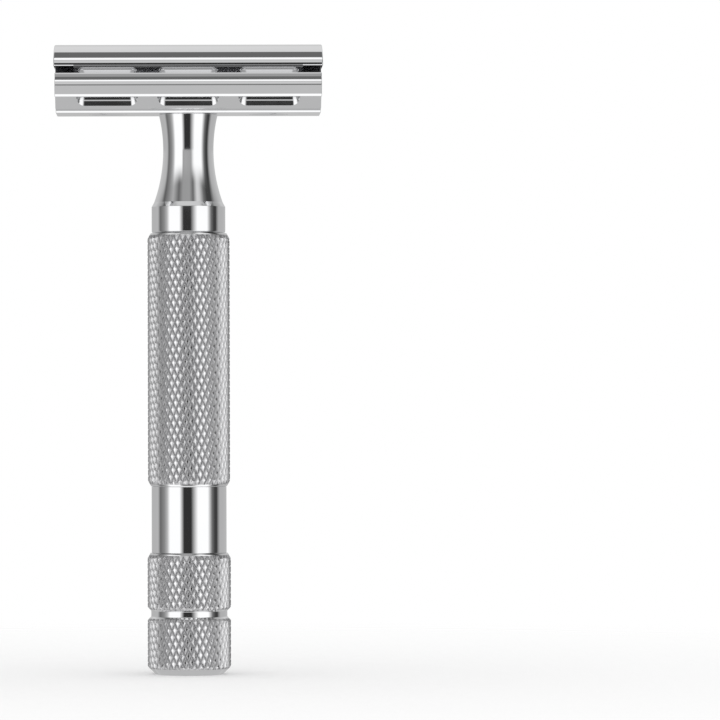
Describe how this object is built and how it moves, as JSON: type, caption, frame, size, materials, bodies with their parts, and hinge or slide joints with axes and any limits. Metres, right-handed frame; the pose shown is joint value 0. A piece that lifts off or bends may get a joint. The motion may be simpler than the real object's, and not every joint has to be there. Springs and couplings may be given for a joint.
{
  "type": "double-edge safety razor",
  "caption": "Double-edge safety razor with a knurled handle, a reversible slotted base plate and a screw-down cap that clamps a bent blade.",
  "frame": {"origin": "centre of the pommel's flat foot, on the surface that the razor stands on", "axes": "+Z along the handle from the pommel to the cap, +X along the head and the blade's cutting edges, +Y across the head; the picture looks along +Y"},
  "size_m": [0.0434, 0.026, 0.1026],
  "materials": {
    "polished_chrome": "polished",
    "knurled_chrome": "gloss",
    "blade_steel": "satin",
    "stud_steel": "gloss",
    "core_brass": "satin"
  },
  "bodies": {
    "handle": {"pommel": "knurled_chrome", "plain_band": "polished_chrome", "grip_sleeve": "knurled_chrome", "neck": "polished_chrome", "handle_core": "core_brass"},
    "base_plate": {"base_plate": "polished_chrome"},
    "cap": {"cap": "polished_chrome", "cap_stud": "stud_steel", "post_left": "stud_steel", "post_right": "stud_steel"},
    "blade": {"blade": "blade_steel"}
  },
  "joints": [
    {"name": "head_turn", "type": "hinge", "parent": "handle", "child": "base_plate", "pos_m": [0, 0, 0.09125], "axis": [0, 0, 1], "range_deg": [0, 3600]},
    {"name": "cap_lift", "type": "slide", "parent": "base_plate", "child": "cap", "axis": [0, 0, 1], "range_m": [0, 0.008]},
    {"name": "blade_lift", "type": "slide", "parent": "base_plate", "child": "blade", "axis": [0, 0, 1], "range_m": [0, 0.004]}
  ],
  "couplings": [
    {"joint": "cap_lift", "follows": "head_turn", "m_per_rad": 0.00012732},
    {"joint": "blade_lift", "follows": "head_turn", "m_per_rad": 0.000063662}
  ]
}
